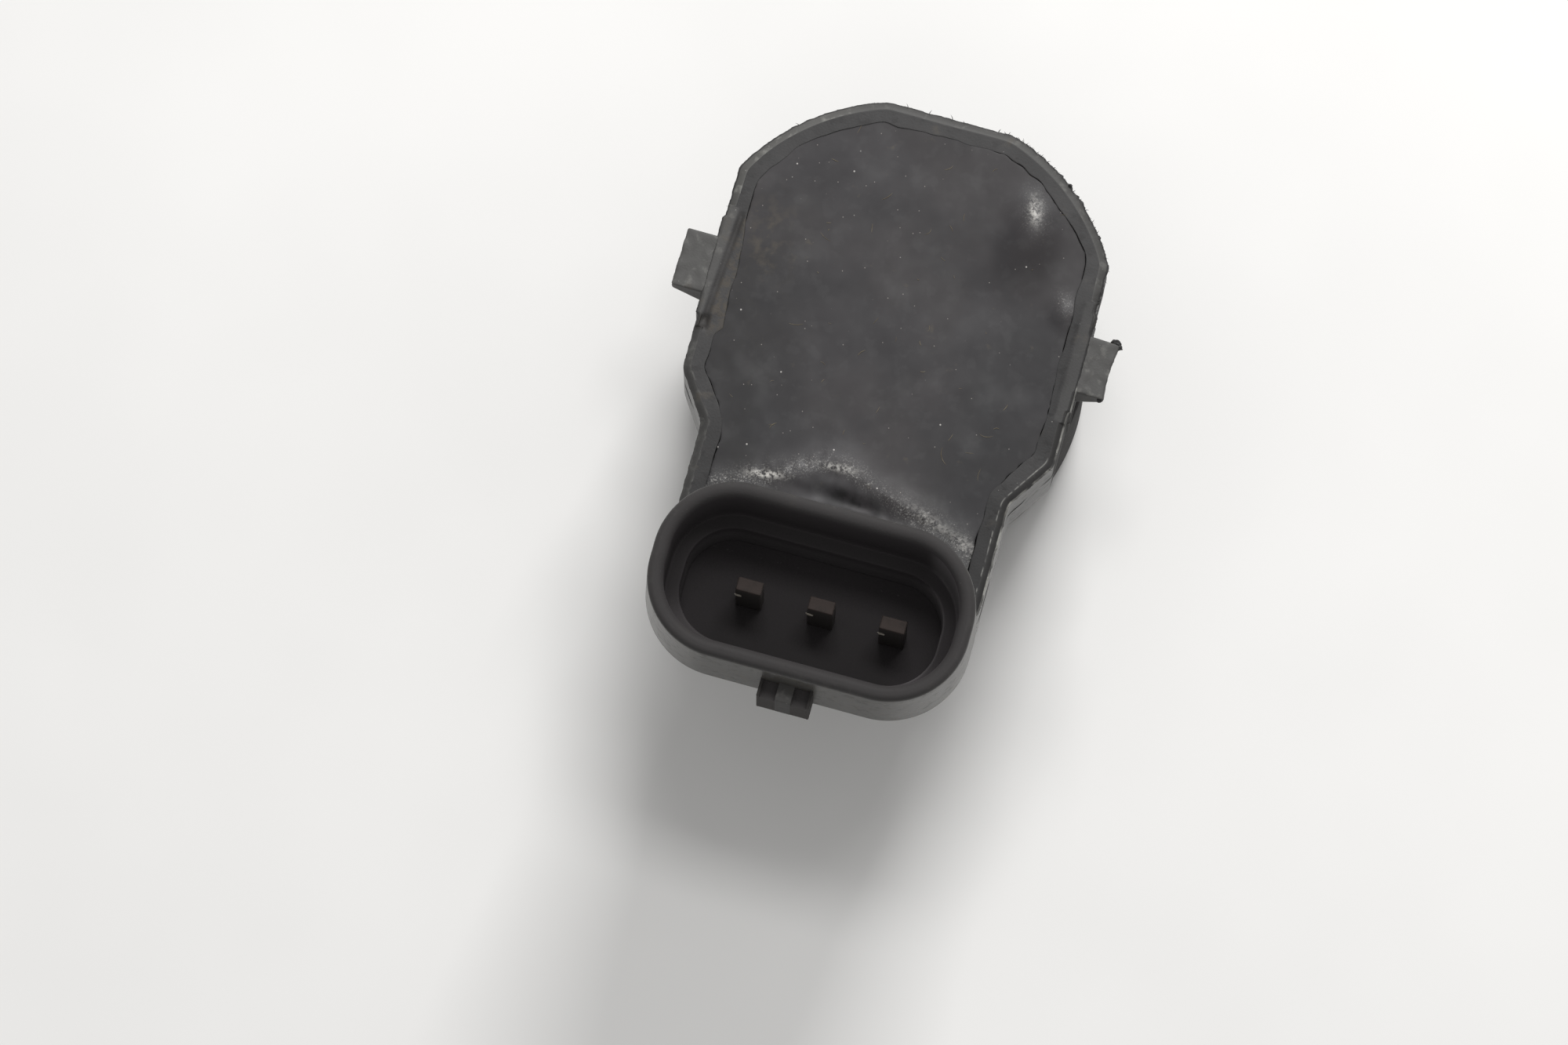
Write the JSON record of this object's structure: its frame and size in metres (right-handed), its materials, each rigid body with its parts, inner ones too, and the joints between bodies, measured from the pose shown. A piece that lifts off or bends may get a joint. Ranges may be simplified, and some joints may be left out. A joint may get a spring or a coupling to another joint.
{
  "type": "parking sensor",
  "caption": "Ultrasonic parking sensor with a round nose, a potted back, side clip tabs and an oval plug socket on a short neck.",
  "frame": {"origin": "on the sensor axis at the front face, on which it stands", "axes": "+Z along the sensor axis towards the potted back, -Y towards the plug socket, X over the clip tabs"},
  "size_m": [0.0292, 0.0413, 0.0271],
  "materials": {
    "housing_plastic": "moulded glass-filled nylon, dull, with flash on its edges",
    "potting_resin": "cast resin, satin, dusty, with a wavy edge",
    "silicone": "soft silicone rubber, dull",
    "cup_face": "aluminium with a dark satin coat",
    "piezo_ceramic": "fired piezo ceramic",
    "absorber_felt": "pressed felt",
    "seal_silicone": "cast silicone",
    "copper_wire": "drawn copper wire",
    "board": "glass-fibre board with green solder mask",
    "chip_plastic": "moulded epoxy",
    "ferrite": "sintered ferrite",
    "winding": "enamelled copper winding",
    "can": "drawn aluminium can",
    "chip_ceramic": "fired ceramic with tinned ends",
    "terminal_metal": "tinned bronze strip, tarnished"
  },
  "bodies": {
    "root": {"housing": "housing_plastic", "potting_compound": "potting_resin", "decoupling_ring": "silicone", "transducer_cup": "cup_face", "piezo_disc": "piezo_ceramic", "absorber_pad": "absorber_felt", "cup_seal": "seal_silicone", "signal_lead": "copper_wire", "ground_lead": "copper_wire", "circuit_board": "board", "control_chip": "chip_plastic", "transformer_core": "ferrite", "transformer_winding": "winding", "storage_capacitor": "can", "chip_capacitors": "chip_ceramic", "chip_resistors": "chip_plastic", "protection_diode": "chip_plastic", "supply_terminal": "terminal_metal", "signal_terminal": "terminal_metal", "earth_terminal": "terminal_metal"}
  },
  "joints": []
}
